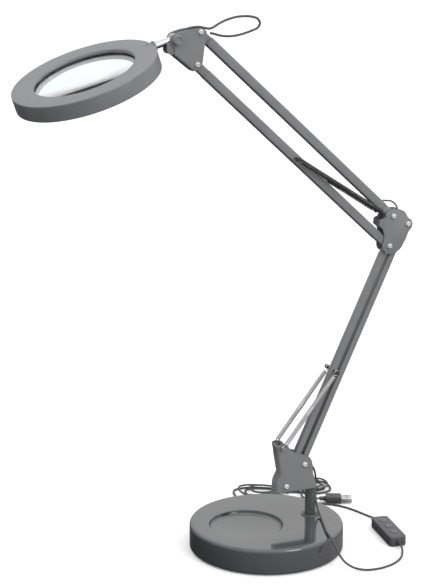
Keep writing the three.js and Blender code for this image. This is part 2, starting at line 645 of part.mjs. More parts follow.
function strainRelief(sign) {
  const y0 = CTRL.long / 2;
  const g = turned([[0, y0 - 3], [2.8, y0 - 3], [2.8, y0 + 0.6], [1.9, y0 + 5.4], [0, y0 + 5.4]], 12);
  g.rotateX(-Math.PI / 2);
  g.scale(1, 1, -1);
  const flipped = solidFlip(g);
  flipped.translate(0, 0, 5.2);
  if (sign < 0) flipped.rotateZ(Math.PI);
  return inController(flipped);
}
function solidFlip(g) {
  const f = bare(g);
  const index = f.index.array;
  for (let i = 0; i < index.length; i += 3) {
    const t = index[i];
    index[i] = index[i + 1];
    index[i + 1] = t;
  }
  f.computeVertexNormals();
  return f;
}
part("controller_relief_front", strainRelief(-1), black);
part("controller_relief_back", strainRelief(1), black);

// ---- USB plug -----------------------------------------------------------
const USB = { x: 111, y: 88.6, z: 4.6, turn: -0.4 };
function inUsb(g) {
  g.rotateZ(USB.turn);
  g.translate(USB.x, USB.y, USB.z);
  return g;
}
function box(x0, x1, y, z, r) {
  const g = extruded(roundedBox(2 * z, 2 * y, r, 2), x0, x1);
  g.rotateY(Math.PI / 2);
  return g;
}
const relief = bar([-7, 0, 0], [0.5, 0, 0], 2.3, 10);
part("usb_overmold", inUsb(join(box(0, 17, 6.6, 4.2, 1.6), relief)), black);
const metal = cut(box(17.1, 28.8, 6, 2.25, 0.5), box(18, 30, 5.7, 1.95, 0.3));
part("usb_shell", inUsb(metal), steel);
const tongue = new THREE.BoxGeometry(9, 10.8, 1.5);
tongue.translate(22.6, 0, -0.9);
part("usb_tongue", inUsb(tongue), nylon);

export default group;
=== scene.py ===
import json
import math
from collections import namedtuple

import bmesh
import bpy
from mathutils import Matrix, Vector


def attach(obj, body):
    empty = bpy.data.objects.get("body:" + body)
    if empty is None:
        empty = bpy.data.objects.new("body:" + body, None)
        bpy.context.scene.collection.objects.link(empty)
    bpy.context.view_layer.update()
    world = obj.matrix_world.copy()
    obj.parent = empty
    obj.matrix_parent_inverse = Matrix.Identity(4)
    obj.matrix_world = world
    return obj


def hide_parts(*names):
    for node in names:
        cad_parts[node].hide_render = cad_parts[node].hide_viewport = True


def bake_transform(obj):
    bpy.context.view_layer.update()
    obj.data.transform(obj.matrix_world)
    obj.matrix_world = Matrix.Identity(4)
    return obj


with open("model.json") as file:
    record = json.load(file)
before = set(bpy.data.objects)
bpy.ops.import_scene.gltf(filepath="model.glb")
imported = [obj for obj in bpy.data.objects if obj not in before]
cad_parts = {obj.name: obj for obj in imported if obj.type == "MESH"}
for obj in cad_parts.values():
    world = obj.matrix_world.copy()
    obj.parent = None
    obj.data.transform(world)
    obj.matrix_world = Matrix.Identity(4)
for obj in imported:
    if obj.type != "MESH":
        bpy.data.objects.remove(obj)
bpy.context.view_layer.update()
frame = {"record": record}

# Lengths are in millimetres until a mesh is made.
MM = 0.001

# ---- dimensions shared with the frame --------------------------------------
BASE_R, BASE_H, PAD_H = 80, 27.8, 1.5
TRAY_X, TRAY_R, TRAY_DEEP = -23, 39, 4.2
POST_X, POST_R, SOCKET_R, FLOOR_Z = 50, 5.6, 9, 58
CHEEK, HALF, INNER = 1.5, 7.5, 6
LEAN, RISE = math.radians(24.7), math.radians(42.9)
LOWER, UPPER = 271, 288.6
LOW_W, LOW_T, UP_W, UP_T, WALL = 6.2, 7.2, 9.2, 10, 1
BOLT_R, BOLT_HEAD_R, PIN_HALF = 2, 2.7, 12.4
SPRING_Y, SPRING_R = 10.4, 2.6
RING_C, RING_TILT, RING_ROLL = Vector((-190.4, 0, 505.2)), math.radians(19.8), math.radians(5.9)
RING_R, RING_H, LENS_R, LENS_DOME = 72, 15.5, 50.8, 2.5
RIM_H, ROD_R, BUSH_R, EAR_Y, SCREW_R = -3.4, 3.5, 4.7, 3.8, 1.5
CORD_R, FLOOR_CORD, LOOP_R, JUMPER_R = 1.1, 1.4, 1.2, 0.9
BASE_CORD = BASE_H + CORD_R + 0.4


def at(x, z, y=0):
    return Vector((x, y, z))


LOW_DIR = at(math.sin(LEAN), math.cos(LEAN))
UP_DIR = at(-math.cos(RISE), math.sin(RISE))
FRONT_LOW, REAR_LOW = at(19.2, 65.5), at(39.8, 87.1)
FRONT_TOP, REAR_TOP = FRONT_LOW + LOW_DIR * LOWER, REAR_LOW + LOW_DIR * LOWER
ELBOW_TOP = at(136.1, 342.7)
HEAD_TOP, HEAD_LOW = ELBOW_TOP + UP_DIR * UPPER, FRONT_TOP + UP_DIR * UPPER
LOW_PIN, UP_PIN = FRONT_LOW + LOW_DIR * 130, FRONT_TOP + UP_DIR * 144
BASE_HOOK, ELBOW_HOOK = at(13.6, 108), at(126.2, 345.4)
KNUCKLE = at(-99.9, 533)

# ---- camera -----------------------------------------------------------------
YAW, PITCH = math.radians(22), math.radians(14.5)
CAMERA_FAR, CAMERA_ASIDE, CAMERA_AIM = 1813.3, -55, 279.3
SENSOR, TALL_PX, FOCAL_PX, RISE_PX = 36, 585, 1800, -5.5


def make_camera():
    ahead = Vector((math.sin(YAW) * math.cos(PITCH), math.cos(YAW) * math.cos(PITCH), -math.sin(PITCH)))
    right = Vector((math.cos(YAW), -math.sin(YAW), 0))
    up = right.cross(ahead)
    place = Vector((0, 0, CAMERA_AIM)) + right * CAMERA_ASIDE - ahead * CAMERA_FAR
    data = bpy.data.cameras.new("camera")
    data.sensor_width = SENSOR
    data.lens = FOCAL_PX * SENSOR / TALL_PX
    data.shift_y = RISE_PX / TALL_PX
    data.clip_end = 60
    camera = bpy.data.objects.new("camera", data)
    turn = Matrix((right, up, -ahead)).transposed().to_4x4()
    camera.matrix_world = Matrix.Translation(place * MM) @ turn
    bpy.context.scene.collection.objects.link(camera)
    bpy.context.scene.camera = camera


make_camera()

# ---- materials --------------------------------------------------------------
Look = namedtuple("Look", "colour rough metal vary grain bump coat", defaults=(0, 0.08, 700, 0.12, 0))
LOOKS = {
    "gloss_grey_cover": Look((0.055, 0.057, 0.06), 0.14, 0, 0.06, 1400, 0.03, 0.9),
    "weight_steel": Look((0.25, 0.25, 0.25), 0.7, 1, 0.3, 300, 0.3),
    "dark_steel": Look((0.03, 0.03, 0.032), 0.5),
    "rubber_pad": Look((0.02, 0.02, 0.02), 0.9, 0, 0.3, 1200, 0.5),
    "dark_plastic": Look((0.075, 0.076, 0.079), 0.42, 0, 0.1, 1800, 0.15),
    "plated_steel": Look((0.66, 0.66, 0.67), 0.36, 1, 0.1, 600, 0.05),
    "grey_paint": Look((0.19, 0.193, 0.198), 0.42, 0, 0.08, 2600, 0.14, 0.1),
    "white_nylon": Look((0.66, 0.66, 0.65), 0.4, 0, 0.04, 900, 0.1),
    "black_steel": Look((0.035, 0.035, 0.037), 0.38, 0, 0.15, 900, 0.1),
    "chrome_rod": Look((0.56, 0.56, 0.58), 0.2, 1, 0.04, 500, 0.02),
    "head_grey": Look((0.185, 0.188, 0.193), 0.38, 0, 0.06, 2400, 0.12),
    "lens_acrylic": Look((0.78, 0.8, 0.8), 0.02, 0, 0.01, 200, 0),
    "board_white": Look((0.8, 0.8, 0.76), 0.5, 0, 0.08, 500, 0.1),
    "diffuser_milk": Look((0.88, 0.88, 0.88), 0.5, 0, 0.03, 900, 0.06),
    "cable_jacket": Look((0.06, 0.061, 0.063), 0.45, 0, 0.12, 1500, 0.15),
    "button_grey": Look((0.12, 0.122, 0.125), 0.45, 0, 0.1, 1800, 0.12),
}


def make_material(name, look):
    material = bpy.data.materials.new(name)
    material.use_nodes = True
    nodes, links = material.node_tree.nodes, material.node_tree.links
    shader = nodes["Principled BSDF"]
    shader.inputs["Metallic"].default_value = look.metal
    shader.inputs["Coat Weight"].default_value = look.coat
    shader.inputs["Coat Roughness"].default_value = 0.06
    where = nodes.new("ShaderNodeTexCoord")

    def noise(scale, detail):
        node = nodes.new("ShaderNodeTexNoise")
        node.inputs["Scale"].default_value = scale
        node.inputs["Detail"].default_value = detail
        links.new(where.outputs["Object"], node.inputs["Vector"])
        return node.outputs["Fac"]

    def ranged(source, low, high):
        node = nodes.new("ShaderNodeMapRange")
        node.inputs["From Min"].default_value = 0.3
        node.inputs["From Max"].default_value = 0.7
        node.inputs["To Min"].default_value = low
        node.inputs["To Max"].default_value = high
        links.new(source, node.inputs["Value"])
        return node.outputs["Result"]

    broad, fine = noise(55, 3), noise(look.grain, 2)
    tint = nodes.new("ShaderNodeMix")
    tint.data_type = "RGBA"
    tint.inputs["A"].default_value = (*[c * (1 - look.vary) for c in look.colour], 1)
    tint.inputs["B"].default_value = (*[min(1, c * (1 + look.vary)) for c in look.colour], 1)
    links.new(ranged(broad, 0.1, 0.9), tint.inputs["Factor"])
    links.new(tint.outputs["Result"], shader.inputs["Base Color"])
    spread = 0.25 * look.rough
    links.new(ranged(broad, look.rough - spread, look.rough + spread), shader.inputs["Roughness"])
    if look.bump:
        bump = nodes.new("ShaderNodeBump")
        bump.inputs["Strength"].default_value = look.bump
        bump.inputs["Distance"].default_value = 0.0001
        links.new(fine, bump.inputs["Height"])
        links.new(bump.outputs["Normal"], shader.inputs["Normal"])
    if name == "lens_acrylic":
        shader.inputs["Transmission Weight"].default_value = 1
        shader.inputs["IOR"].default_value = 1.16
    # painted light: the light cover glows faintly though the lamp is off, standing in for the light it
    # reflects
    if name == "diffuser_milk":
        shader.inputs["Emission Color"].default_value = (1, 1, 1, 1)
        shader.inputs["Emission Strength"].default_value = 0.15
    return material


MATERIALS = {name: make_material(name, look) for name, look in LOOKS.items()}
for row in frame["record"]["subparts"]:
    ob = bpy.data.objects.get(row["node"])
    ob.data.materials.clear()
    ob.data.materials.append(MATERIALS[row["material_slot"]])


# ---- mesh helpers -----------------------------------------------------------
def rounded(points, radius, steps=3, closed=True):
    """The outline with each corner replaced by a small arc."""
    out = []
    count = len(points)
    for i, p in enumerate(points):
        if not closed and i in (0, count - 1):
            out.append(Vector(p))
            continue
        p = Vector(p)
        before = Vector(points[i - 1]) - p
        after = Vector(points[(i + 1) % count]) - p
        cut = min(radius, before.length * 0.45, after.length * 0.45)
        a, b = p + before.normalized() * cut, p + after.normalized() * cut
        for k in range(steps + 1):
            t = k / steps
            out.append(a * (1 - t) ** 2 + p * 2 * t * (1 - t) + b * t * t)
    return out


def new_object(name, bm):
    bmesh.ops.recalc_face_normals(bm, faces=bm.faces)
    mesh = bpy.data.meshes.new(name)
    bm.to_mesh(mesh)
    bm.free()
    ob = bpy.data.objects.new(name, mesh)
    bpy.context.scene.collection.objects.link(ob)
    return ob


def lathe(profile, segments=64, place=None, closed=False):
    """A bmesh of revolution about local Z from (radius, height) points."""
    bm = bmesh.new()
    place = place or Matrix.Identity(4)
    rings = []
    for r, z in profile:
        if r < 1e-6:
            rings.append([bm.verts.new(place @ Vector((0, 0, z)))])
            continue
        turn = [2 * math.pi * i / segments for i in range(segments)]
        rings.append([bm.verts.new(place @ Vector((r * math.cos(a), r * math.sin(a), z))) for a in turn])
    for a, b in zip(rings, rings[1:] + rings[:1] if closed else rings[1:]):
        for i in range(segments):
            j = (i + 1) % segments
            loop = [a[i % len(a)], b[i % len(b)], b[j % len(b)], a[j % len(a)]]
            corners = list(dict.fromkeys(loop))
            if len(corners) > 2:
                bm.faces.new(corners)
    return bm


def prism(outline, low, high, place=None, bevel=0.3):
    """A bmesh of a closed outline extruded along local Z, with its edges broken."""
    bm = bmesh.new()
    place = place or Matrix.Identity(4)
    ends = [[bm.verts.new(place @ Vector((p[0], p[1], h))) for p in outline] for h in (low, high)]
    bm.faces.new(ends[0])
    bm.faces.new(ends[1])
    count = len(outline)
    for i in range(count):
        j = (i + 1) % count
        bm.faces.new((ends[0][i], ends[0][j], ends[1][j], ends[1][i]))
    bmesh.ops.recalc_face_normals(bm, faces=bm.faces)
    if bevel:
        rim = [e for e in bm.edges if len(e.link_faces) == 2 and e.calc_face_angle(0) > 0.6]
        bmesh.ops.bevel(bm, geom=rim, offset=bevel, segments=2, profile=0.6, affect="EDGES",
                        clamp_overlap=True)
    return bm


def merged(*parts):
    """One bmesh of several."""
    bm = bmesh.new()
    for part in parts:
        mesh = bpy.data.meshes.new("part")
        bmesh.ops.recalc_face_normals(part, faces=part.faces)
        part.to_mesh(mesh)
        part.free()
        bm.from_mesh(mesh)
        bpy.data.meshes.remove(mesh)
    return bm


def cut(bm, *tools):
    """bm less the tools, by an exact boolean."""
    ob = new_object("cut", bm)
    for i, tool in enumerate(tools):
        other = new_object(f"tool{i}", tool)
        step = ob.modifiers.new("cut", "BOOLEAN")
        step.operation, step.solver, step.object = "DIFFERENCE", "EXACT", other
        bpy.context.view_layer.update()
        mesh = bpy.data.meshes.new_from_object(ob.evaluated_get(bpy.context.evaluated_depsgraph_get()))
        ob.modifiers.clear()
        ob.data = mesh
        bpy.data.objects.remove(other)
    out = bmesh.new()
    out.from_mesh(ob.data)
    bpy.data.objects.remove(ob)
    return out


def along_y(x, z):
    """Local Z runs along +Y, from the point (x, 0, z)."""
    return Matrix.Translation((x, 0, z)) @ Matrix.Rotation(-math.pi / 2, 4, "X")


def in_xz():
    """For prism(): an outline in x and z, extruded along Y."""
    return Matrix(((1, 0, 0, 0), (0, 0, 1, 0), (0, 1, 0, 0), (0, 0, 0, 1)))


def plate(outline, y0, y1, corner=1.2, bevel=0.3):
    return prism(rounded(outline, corner), y0, y1, in_xz(), bevel)


def on_line(p, direction):
    """Local Z runs along direction from p, local Y stays across the arms."""
    z = direction.normalized()
    y = Vector((0, 1, 0))
    turn = Matrix((y.cross(z), y, z)).transposed().to_4x4()
    return Matrix.Translation(p) @ turn


def rectangle(w, t, corner, steps=5):
    points = [(w / 2, t / 2), (-w / 2, t / 2), (-w / 2, -t / 2), (w / 2, -t / 2)]
    return [p for p in rounded([(*q, 0) for q in points], corner, steps)]


def sampled(points, step):
    """Points every step or less on a centripetal Catmull-Rom curve through points."""
    points = [Vector(p) for p in points]
    points = [points[0] * 2 - points[1], *points, points[-1] * 2 - points[-2]]
    out = []
    for p0, p1, p2, p3 in zip(points, points[1:], points[2:], points[3:]):
        k1, k2, k3 = [max((b - a).length, 1e-6) ** 0.5 for a, b in ((p0, p1), (p1, p2), (p2, p3))]
        m1 = ((p1 - p0) / k1 - (p2 - p0) / (k1 + k2) + (p2 - p1) / k2) * k2
        m2 = ((p2 - p1) / k2 - (p3 - p1) / (k2 + k3) + (p3 - p2) / k3) * k2
        count = max(1, math.ceil((p2 - p1).length / step))
        for i in range(count):
            t = i / count
            a = (2 * t**3 - 3 * t**2 + 1) * p1 + (t**3 - 2 * t**2 + t) * m1
            out.append(a + (3 * t**2 - 2 * t**3) * p2 + (t**3 - t**2) * m2)
    out.append(points[-2])
    return out


def sweep(path, radius, sides=12):
    """A bmesh tube with closed round ends along path; radius may be a list, one for each point."""
    radii = radius if isinstance(radius, list) else [radius] * len(path)
    bm = bmesh.new()
    ahead = (path[1] - path[0]).normalized()
    side = ahead.orthogonal().normalized()
    rings = []
    for i, p in enumerate(path):
        ahead = (path[min(i + 1, len(path) - 1)] - path[max(i - 1, 0)]).normalized()
        side = (side - ahead * side.dot(ahead)).normalized()
        up = ahead.cross(side)
        turn = [2 * math.pi * k / sides for k in range(sides)]
        rings.append([bm.verts.new(p + (side * math.cos(a) + up * math.sin(a)) * radii[i]) for a in turn])
    for a, b in zip(rings, rings[1:]):
        for k in range(sides):
            bm.faces.new((a[k], a[(k + 1) % sides], b[(k + 1) % sides], b[k]))
    bm.faces.new(rings[0])
    bm.faces.new(rings[-1])
    return bm


SHARP = math.radians(38)


def piece(name, bm, body, slot, *nodes):
    """A finished piece: shaded, with its material, riding on a body in place of its CAD nodes."""
    bmesh.ops.scale(bm, vec=(MM, MM, MM), verts=bm.verts)
    ob = new_object(name, bm)
    ob.data.shade_smooth()
    ob.data.set_sharp_from_angle(angle=SHARP)
    ob.data.materials.append(MATERIALS[slot])
    if body:
        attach(ob, body)
    if nodes:
        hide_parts(*nodes)
    return ob


# ---- cords ------------------------------------------------------------------
# the supply lead, from the lower bracket down the post and over the base to the controller
LEAD_TOP = [
    (48.6, 0, 83), (52.4, 0.6, 80.4), (55.4, 1.4, 75), (57, 2, 68), (57.3, 2.3, 62), (57.2, 2.4, 56.2),
    (57.2, 2.3, 50), (57.4, 1.8, 44), (57.6, -0.6, 37.4), (57, -6, 32.4), (55.2, -14.6, 30),
    (52, -26, BASE_CORD), (47.4, -41, BASE_CORD), (43.4, -55, BASE_CORD),
    (41.4, -64.6, BASE_CORD + 0.3), (41, -71.6, 28.4),
    (42.2, -78, 23), (44.6, -82.6, 15.4), (49, -87.4, 8), (56, -93, 3.4), (66, -98.6, 1.6),
    (79, -100.6, FLOOR_CORD), (93, -98, FLOOR_CORD), (105, -92.2, FLOOR_CORD), (115, -83.4, FLOOR_CORD),
    (121, -74.6, 1.8), (124.6, -67, 3.4), (125.86, -60.6, 5.2),
]
# inside the controller, and on to the hank
LEAD_BACK = [
    (127, -52, 5.2), (130.4, -25, 5.2), (133.9, 2, 5.2), (134.95, 10.6, 5.2), (135.9, 16.4, 4),
    (136.4, 24, 2.2), (134.6, 33, FLOOR_CORD), (131.4, 43, FLOOR_CORD), (128, 53, FLOOR_CORD),
    (123.4, 63, FLOOR_CORD),
    (116.6, 72.6, FLOOR_CORD), (108, 80.4, FLOOR_CORD), (98, 87, FLOOR_CORD), (89, 93.6, FLOOR_CORD),
    (84.4, 101, FLOOR_CORD), (81.6, 109, FLOOR_CORD), (77.2, 118, FLOOR_CORD),
]
PLUG_END = [
    (100.4, 120.9, 5.6), (95.6, 118.4, 4.6), (92.9, 113.8, 2.8), (92.7, 108.2, FLOOR_CORD),
    (94, 102.6, FLOOR_CORD), (96.4, 97.8, 2.2), (100, 94, 3.6), (104, 91.5, 4.6), (108, 89.8, 4.6),
]
HANK_AT, HANK_TURN = Vector((81, 136, 0)), Matrix.Rotation(-0.12, 3, "Z")
# each lobe: which end, its reach, its half width, and the strand's place at the waist before and after it
LOBES = [
    (-1, 57, 19.4, -7.6, 7.6, 1.4), (1, 54, 18.8, 7.6, -4.8, 1.4), (-1, 44, 13, -4.8, 4.8, 1.5),
    (1, 47, 13.4, 4.8, -6.2, 1.6), (-1, 51.5, 16.2, -6.2, 6.2, 4), (1, 51, 15.8, 6.2, -3.4, 4),
    (-1, 39, 11.8, -3.4, 3.4, 4.4), (1, 43.6, 12.2, 3.4, -6, 4.6),
]
LOBE_SHAPE = [(0.2, 0.22), (0.42, 0.72), (0.62, 0.98), (0.8, 0.96), (0.94, 0.62), (1, 0)]


def hank_points():
    """The strands of the hank, lobe by lobe from the outside in, on two layers."""
    points = []
    for n, (end, reach, wide, w0, w1, z) in enumerate(LOBES):
        lift = 2.6 if z > 3 else 0.4 * n
        out, back = math.copysign(wide, w0), math.copysign(wide, w1)
        for a, b in LOBE_SHAPE:
            points.append((end * reach * a, w0 + (out - w0) * b if b else 0, z + lift * a))
        last = n == len(LOBES) - 1
        for a, b in LOBE_SHAPE[-2::-1]:
            if last and a < 0.5:
                break
            points.append((end * reach * a, w1 + (back - w1) * b, z + lift * a))
        if not last:
            rise = (z + LOBES[n + 1][5]) / 2
            points.append((0, w1, rise))
    return [HANK_AT + HANK_TURN @ Vector(p) for p in points]


hank = hank_points()
lead_path = sampled(LEAD_TOP + LEAD_BACK + hank + PLUG_END, 1.6)
lead = piece("supply_cord", sweep(lead_path, CORD_R, 12), None, "cable_jacket",
             "supply_lead", "supply_lead_top", "controller_lead", "plug_lead", "cable_hank")
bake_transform(lead)

# a twist tie round the hank's waist, with its ends twisted together on the right
tie_ring = [HANK_AT + HANK_TURN @ Vector((3 * math.sin(2 * a), 10.2 * math.cos(a), 3.6 + 3.6 * math.sin(a)))
            for a in [2 * math.pi * k / 40 for k in range(41)]]
tie_ring = [Vector((p.x, p.y, max(p.z, 1.1))) for p in tie_ring]


def twist(sign):
    start, end = HANK_AT + HANK_TURN @ Vector((1, -10.4, 5)), Vector((114, 114, 5))
    points = []
    for k in range(33):
        t = k / 32
        turn = t * 5 * math.pi
        spread = 0.9 if t < 0.7 else 0.9 + 5 * (t - 0.7)
        p = start.lerp(end, t) + Vector((0, 0, 5 * math.sin(math.pi * t)))
        points.append(p + Vector((0.3, math.cos(turn), math.sin(turn))) * spread * sign)
    return points


tie = merged(sweep(tie_ring, 0.9, 8), sweep(twist(1), 0.75, 8), sweep(twist(-1), 0.75, 8))
tie = piece("hank_tie", tie, "base", "cable_jacket")

HEAD_LOOP = [
    (-94.2, -3.2, 538.6), (-91.8, -4, 540.8), (-87.4, -4.4, 542.8), (-81.4, -4.5, 543.8), (-75, -4.5, 543.8),
    (-69.4, -4, 542.4), (-64.8, -3, 541.6), (-60.2, -1.8, 542.6), (-54.6, -0.8, 545.4), (-47.2, 0, 548.4),
    (-37, 0.8, 550.9), (-26.4, 1, 551.6), (-18.6, 0.6, 550.7), (-13.4, 0.2, 548.9), (-10.8, 0, 544.4),
    (-13.4, -0.2, 539.9), (-18.8, -0.4, 537.8), (-26.4, -0.6, 535.5), (-36, -0.8, 533.6),
    (-45.2, -0.6, 533.2), (-53, 0, 534.3), (-58.6, 0.4, 536), (-62.6, 0.5, 536.8),
]
loop_path = sampled(HEAD_LOOP, 1)
head_loop = piece("head_cord", sweep(loop_path, LOOP_R, 12), None, "cable_jacket", "head_loop_cable")
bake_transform(head_loop)

JUMPER = [
    (127.4, 0, 358.6), (130.6, 0, 358), (135.2, 0, 357.6), (140, 0, 355), (143.4, 0, 350.8), (144.6, 0, 346),
]
jumper = piece("elbow_cord", sweep(sampled(JUMPER, 0.8), JUMPER_R, 12), None, "cable_jacket", "elbow_cable")
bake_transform(jumper)


# ---- base -------------------------------------------------------------------
def base_cover():
    r, h = BASE_R, BASE_H
    outside = rounded([(r - 4, PAD_H, 0), (r, PAD_H, 0), (r, h, 0), (r - 9, h, 0)], 4.4, 8, False)
    profile = [(0, h - 2.4), (r - 5.5, h - 2.4), (r - 2.4, h - 5), (r - 2.4, PAD_H)]
    profile += [(p.x, p.y) for p in outside[1:]] + [(r - 30, h), (0, h)]
    cover = lathe(profile, 160)
    bowl = [(0, h - TRAY_DEEP), (TRAY_R - 4.6, h - TRAY_DEEP), (TRAY_R - 3.2, h - TRAY_DEEP + 0.35)]
    bowl += [(TRAY_R - 2.2, h - TRAY_DEEP + 1.2), (TRAY_R - 1.5, h - 1.7), (TRAY_R - 0.7, h - 0.6)]
    bowl += [(TRAY_R + 0.5, h - 0.08), (TRAY_R + 1.6, h + 0.03), (TRAY_R + 1.7, h + 2), (0, h + 2)]
    tray, tray_again = [lathe(bowl, 128, Matrix.Translation((TRAY_X, 0, 0))) for _ in range(2)]
    under = lathe([(0, h - 6.6), (TRAY_R + 2, h - 6.6), (TRAY_R + 2, h - 0.5), (0, h - 0.5)], 96,
                  Matrix.Translation((TRAY_X, 0, 0)))
    hole = lathe([(0, 10), (SOCKET_R - 1.5, 10), (SOCKET_R - 1.5, h + 5), (0, h + 5)], 64,
                 Matrix.Translation((POST_X, 0, 0)))
    return merged(cut(cover, tray, hole), cut(under, tray_again))


piece("cover", base_cover(), "base", "gloss_grey_cover", "base_cover")


def socket():
    bore, low, top = POST_R + 0.08, BASE_H + 0.02, BASE_H + 1.1
    points = [(bore, 3, 0), (SOCKET_R - 1.6, 3, 0), (SOCKET_R - 1.6, low, 0)]
    points += [(SOCKET_R + 0.6, low, 0), (SOCKET_R, top, 0), (bore, top, 0)]
    profile = [(p.x, p.y) for p in rounded(points, 0.3, 2)]
    return lathe(profile, 64, Matrix.Translation((POST_X, 0, 0)), closed=True)


piece("socket", socket(), "base", "dark_plastic", "post_socket")
post_profile = [(0, 5), (POST_R - 0.6, 5), (POST_R, 5.6), (POST_R, FLOOR_Z - 4)]
post_profile += [(POST_R + 0.5, FLOOR_Z - 3.4), (POST_R + 0.5, FLOOR_Z - 0.3), (POST_R, FLOOR_Z - 0.02)]
post_profile += [(0, FLOOR_Z - 0.02)]
post = lathe(post_profile, 64, Matrix.Translation((POST_X, 0, 0)))
piece("post_tube", post, "column", "gloss_grey_cover", "post")

# ---- brackets and their studs -------------------------------------------------
ELBOW_CHEEK = [
    (124.6, 341), (128.6, 347.6), (134, 349.2), (143.6, 349.4), (149.6, 346.4), (153, 340.2), (157.2, 337.4),
    (158.8, 333.4), (157.8, 328.8), (154.4, 325.6), (151.2, 317.6), (145.6, 308), (139.4, 303.4), (132, 303),
    (125.6, 306.8), (124.2, 312), (126.6, 322), (124, 331.4), (120, 333.4), (121, 340.6),
]
HEAD_CHEEK = [
    (-104.6, 531), (-104.6, 535), (-102, 538.4), (-95.4, 540.4), (-90.6, 541.6), (-80, 542.8), (-74, 543),
    (-69.4, 540.4), (-69.4, 535), (-71.4, 525), (-73.4, 509.6), (-75.2, 504.8), (-79, 502.9), (-83, 501.8),
    (-102.6, 517.8), (-101.6, 522), (-102.4, 527),
]
HEAD_EAR = [
    (-108.6, 529.8), (-109.2, 528.6), (-109.2, 521.4), (-106.8, 518.9), (-101, 518.4), (-92, 519), (-92, 536),
    (-99, 538.4), (-103.6, 537.2), (-105.6, 533.4), (-105, 530.4),
]


def outline(points):
    return [(x, z, 0) for x, z in points]


def studs(p):
    """Grooved studs on the outer faces of the cheeks, for the ends of the springs."""
    profile = [(0, HALF - 0.4), (1.2, HALF - 0.4), (1.2, PIN_HALF - 0.3), (2.1, PIN_HALF)]
    profile += [(2.1, PIN_HALF + 0.6), (1.7, PIN_HALF + 1), (0, PIN_HALF + 1)]
    near = [(r, -y) for r, y in profile]
    return [lathe(side, 32, along_y(p.x, p.z)) for side in (profile, near)]


def folded(cheek, room, on_fold):
    """A bent sheet: the cheek's outline across the full width, round at its folds, less the room inside."""
    shape = [Vector(p) for p in outline(cheek)]
    out = []
    for i, p in enumerate(shape):
        before, after = shape[i - 1] - p, shape[(i + 1) % len(shape)] - p
        if on_fold(p.x, p.y):
            out.append(p)
            continue
        corner = min(1.6, before.length * 0.45, after.length * 0.45)
        a, b = p + before.normalized() * corner, p + after.normalized() * corner
        out += [a * (1 - t) ** 2 + p * 2 * t * (1 - t) + b * t * t for t in (0, 0.25, 0.5, 0.75, 1)]
    body = prism(out, -HALF, HALF, in_xz(), 0)
    bends = []
    for edge in body.edges:
        a, b = [v.co for v in edge.verts]
        if abs(a.y - b.y) < 0.1 and on_fold(a.x, a.z) and on_fold(b.x, b.z):
            bends.append(edge)
    bmesh.ops.bevel(body, geom=bends, offset=2.3, segments=6, profile=0.5, affect="EDGES",
                    clamp_overlap=False)
    return cut(body, prism(outline(room), -INNER, INNER, in_xz(), 0))


BASE_SHEET = [
    (8, FLOOR_Z), (53.2, FLOOR_Z), (53.6, 62), (51.6, 70), (49.6, 76), (49.4, 82), (48.2, 90), (45.6, 94.4),
    (40, 97), (31, 100.2), (24.7, 103.6), (20.4, 110), (17.6, 112), (12, 111.6), (8.4, 109.4), (9.6, 99.8),
    (13, 80), (9, 72), (8.3, 66.2),
]
BASE_ROOM = [
    (9.6, 59.5), (60, 59.5), (60, 118), (10, 118), (9.9, 109.4), (11.2, 99.9), (14.6, 80), (10.6, 71.4),
    (9.8, 66),
]
sheet = folded(BASE_SHEET, BASE_ROOM, lambda x, z: (x < 13.2 and z < 110) or z < FLOOR_Z + 0.2)
piece("lower_bracket", merged(sheet, *studs(BASE_HOOK)), "column", "grey_paint", "base_bracket")

# a bent wire at the top of the lower bracket
hook_wire = [at(x, z, -4) for x, z in ((15, 107.5), (13.8, 109.9), (11.6, 114), (8.7, 115.9), (5.6, 115.4),
                                       (4.6, 112.6), (6, 109.6))]
piece("hook_wire", sweep(sampled(hook_wire, 0.6), 0.7, 10), "column", "black_steel")

elbow_web = [(122.6, 331), (124.4, 330.6), (125.8, 338.2), (124, 338.8)]
parts = [plate(outline(ELBOW_CHEEK), y0, y0 + CHEEK, 1.6, 0.35) for y0 in (-HALF, INNER)]
parts += [plate(outline(elbow_web), -HALF + 0.3, HALF - 0.3, 0.4, 0.2), *studs(ELBOW_HOOK)]
piece("middle_bracket", merged(*parts), "elbow", "grey_paint", "elbow_bracket")

HEAD_ROOM = [(-82.6, 502.7), (-60, 484), (-60, 560), (-125, 560), (-125, 519.6), (-101.6, 518.8)]
sheet = folded(HEAD_CHEEK, HEAD_ROOM, lambda x, z: z < 518.6 + (x + 102.6) * -0.8 and z < 518)
ears = [plate(outline(HEAD_EAR), y0, y0 + INNER - EAR_Y + 0.1, 1.4, 0.5) for y0 in (-INNER - 0.1, EAR_Y)]
piece("upper_bracket", merged(sheet, *ears), "head_bracket", "grey_paint", "head_bracket")


# ---- bolts and knob -----------------------------------------------------------
def bolt(p):
    """A nylon bolt: a domed head with a round recess, and a nut on the far side."""
    r = BOLT_HEAD_R
    head = [(1.1, -HALF - 1.6), (1.15, -HALF - 2.6), (1.5, -HALF - 2.7), (2.1, -HALF - 2.3)]
    head += [(2.5, -HALF - 1.5), (r, -HALF - 0.9), (r, -HALF - 0.15), (r - 0.1, -HALF - 0.02)]
    head += [(BOLT_R, -HALF - 0.02)]
    shank = [(BOLT_R, HALF + 3.9), (BOLT_R - 0.3, HALF + 4.2), (0, HALF + 4.2)]
    body = lathe([(0, -HALF - 1.6)] + head + shank, 48, along_y(p.x, p.z))
    six = [(3.5 * math.cos(a), 3.5 * math.sin(a), 0) for a in [math.pi * k / 3 for k in range(6)]]
    nut = prism(rounded(six, 0.5, 2), HALF + 0.02, HALF + 2.7, along_y(p.x, p.z), 0.3)
    return merged(body, nut)


